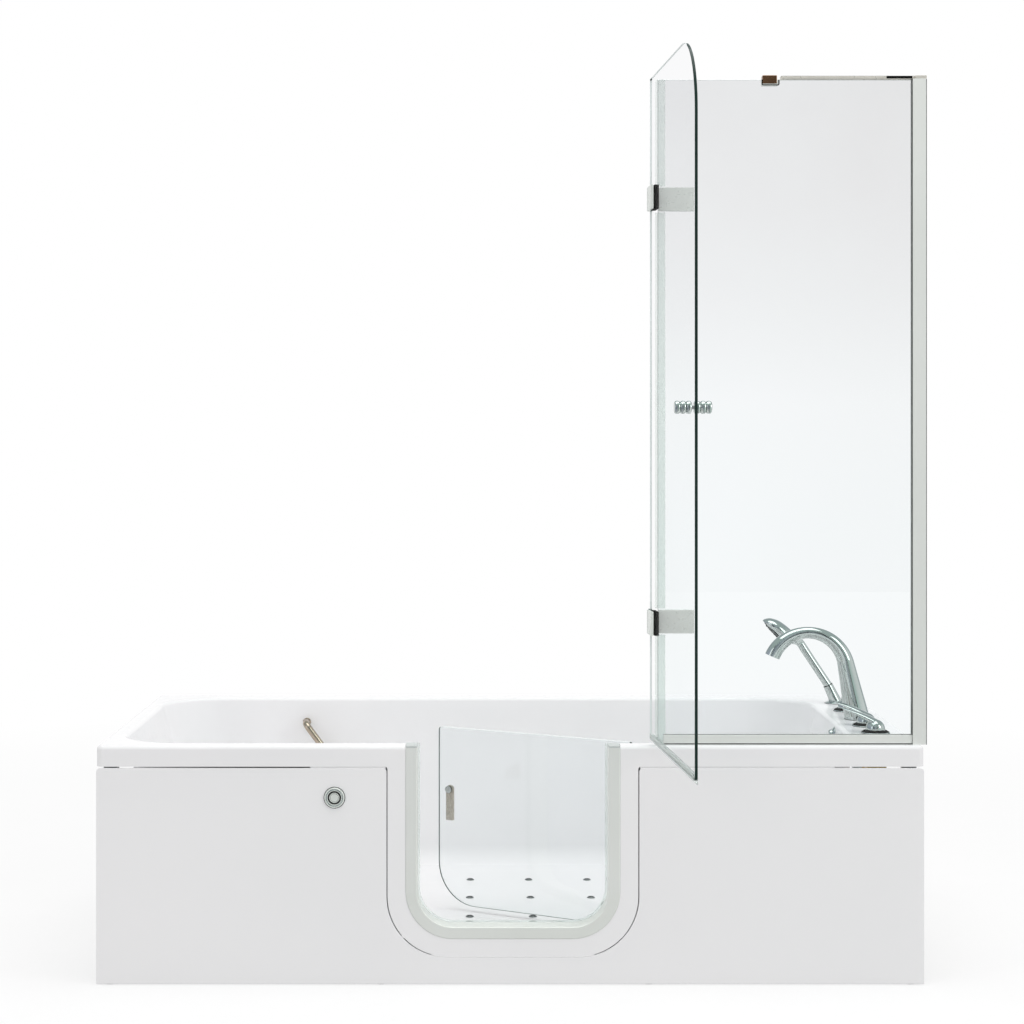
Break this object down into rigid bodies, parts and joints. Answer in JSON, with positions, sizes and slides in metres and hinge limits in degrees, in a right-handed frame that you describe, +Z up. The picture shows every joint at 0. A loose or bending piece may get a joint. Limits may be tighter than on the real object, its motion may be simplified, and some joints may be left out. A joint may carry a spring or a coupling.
{
  "type": "walk in bathtub with door",
  "caption": "White walk-in bathtub with an inward-opening glass door, deck taps with hand shower, grab bar, floor jets and a hinged glass shower screen.",
  "frame": {"origin": "on the floor under the middle of the tub's rim, at the middle foot's pad", "axes": "+X along the tub towards the taps, +Y from the door side to the back, +Z up; metres"},
  "size_m": [1.8385, 1.4676, 2.0135],
  "materials": {
    "acrylic": "glossy white sanitary acrylic",
    "steel": "zinc-plated steel",
    "rubber": "matt black rubber",
    "satin": "satin anodised",
    "seal": "clear soft vinyl",
    "glass": "clear tempered glass",
    "nickel": "brushed nickel",
    "chrome": "polished chrome",
    "plastic": "moulded grey plastic",
    "nozzle": "dark grey rubberised spray plate",
    "brass": "cast brass"
  },
  "bodies": {
    "tub": {"tub_shell": "acrylic", "front_panel": "acrylic", "panel_clips": "steel", "support_frame": "steel", "foot_stems": "steel", "foot_pads": "rubber", "door_frame": "satin", "door_seal": "seal", "hinge_brackets": "nickel", "hinge_pins": "chrome", "inner_wall_screws": "chrome", "latch_keeper": "nickel", "button_bezel": "chrome", "button_nut": "plastic", "air_jets": "chrome", "air_channel": "plastic", "air_pipe": "plastic", "air_blower": "plastic", "grab_bar": "nickel", "grab_bar_flanges": "nickel", "drain_flange": "chrome", "drain_shoe": "brass", "overflow_plate": "chrome", "overflow_pipe": "plastic", "spout": "chrome", "spout_aerator": "rubber", "spout_shank": "brass", "tap_escutcheons": "chrome", "valve_bodies": "brass", "cross_pipes": "brass", "shower_holder": "chrome", "wall_profile": "satin", "glazing_gasket": "rubber", "bottom_rail": "satin", "fixed_glass": "glass", "edge_seal": "seal", "brace_bar": "chrome", "brace_clamp": "chrome", "brace_bracket": "chrome", "screen_hinge_plates": "chrome", "screen_hinge_pins": "chrome"},
    "tub_door": {"door_glass": "glass", "hinge_leaves": "nickel", "hinge_bolts": "chrome", "latch_pivot": "chrome"},
    "door_latch": {"latch_lever": "nickel"},
    "screen_door": {"door_hinge_plates": "chrome", "screen_door_glass": "glass", "bottom_seal": "seal", "screen_knobs": "chrome", "knob_bolt": "steel"},
    "push_button": {"air_button": "chrome"},
    "hot_tap": {"hot_lever": "chrome"},
    "cold_tap": {"cold_lever": "chrome"},
    "diverter": {"diverter_lever": "chrome"},
    "shower_wand": {"hand_shower": "chrome", "spray_face": "nozzle"},
    "stopper": {"drain_stopper": "chrome"},
    "overflow_control": {"overflow_knob": "chrome"}
  },
  "joints": [
    {"name": "tub_door_hinge", "type": "hinge", "parent": "tub", "child": "tub_door", "pos_m": [0.285, -0.398, 0.32], "axis": [0, 0, 1], "range_deg": [-72, 30.5]},
    {"name": "latch_turn", "type": "hinge", "parent": "tub_door", "child": "door_latch", "pos_m": [-0.14064, -0.14728, 0.38], "axis": [0.5075, 0.8616, 0], "range_deg": [0, 90]},
    {"name": "screen_door_hinge", "type": "hinge", "parent": "tub", "child": "screen_door", "pos_m": [0.3125, -0.424, 1.268], "axis": [0, 0, 1], "range_deg": [-94.2, 20]},
    {"name": "button_push", "type": "slide", "parent": "tub", "child": "push_button", "axis": [0, 1, 0], "range_m": [0, 0.003], "stiffness_N_per_m": 500, "springref_m": -0.002},
    {"name": "hot_tap_turn", "type": "hinge", "parent": "tub", "child": "hot_tap", "pos_m": [0.844, -0.251, 0.54], "axis": [0, 0, 1], "range_deg": [0, 90]},
    {"name": "cold_tap_turn", "type": "hinge", "parent": "tub", "child": "cold_tap", "pos_m": [0.844, -0.133, 0.54], "axis": [0, 0, 1], "range_deg": [0, 90]},
    {"name": "diverter_turn", "type": "hinge", "parent": "tub", "child": "diverter", "pos_m": [0.844, 0.137, 0.54], "axis": [0, 0, 1], "range_deg": [-90, 0]},
    {"name": "wand_lift", "type": "slide", "parent": "tub", "child": "shower_wand", "axis": [-0.4274, 0, 0.9041], "range_m": [0, 0.12]},
    {"name": "overflow_turn", "type": "hinge", "parent": "tub", "child": "overflow_control", "pos_m": [0.77703, -0.081, 0.5], "axis": [-0.9986, 0, 0.0523], "range_deg": [0, 90]},
    {"name": "stopper_lift", "type": "slide", "parent": "tub", "child": "stopper", "axis": [0, 0, 1], "range_m": [0, 0.012]}
  ],
  "couplings": [
    {"joint": "overflow_turn", "follows": "stopper_lift", "rad_per_m": 130.8}
  ]
}
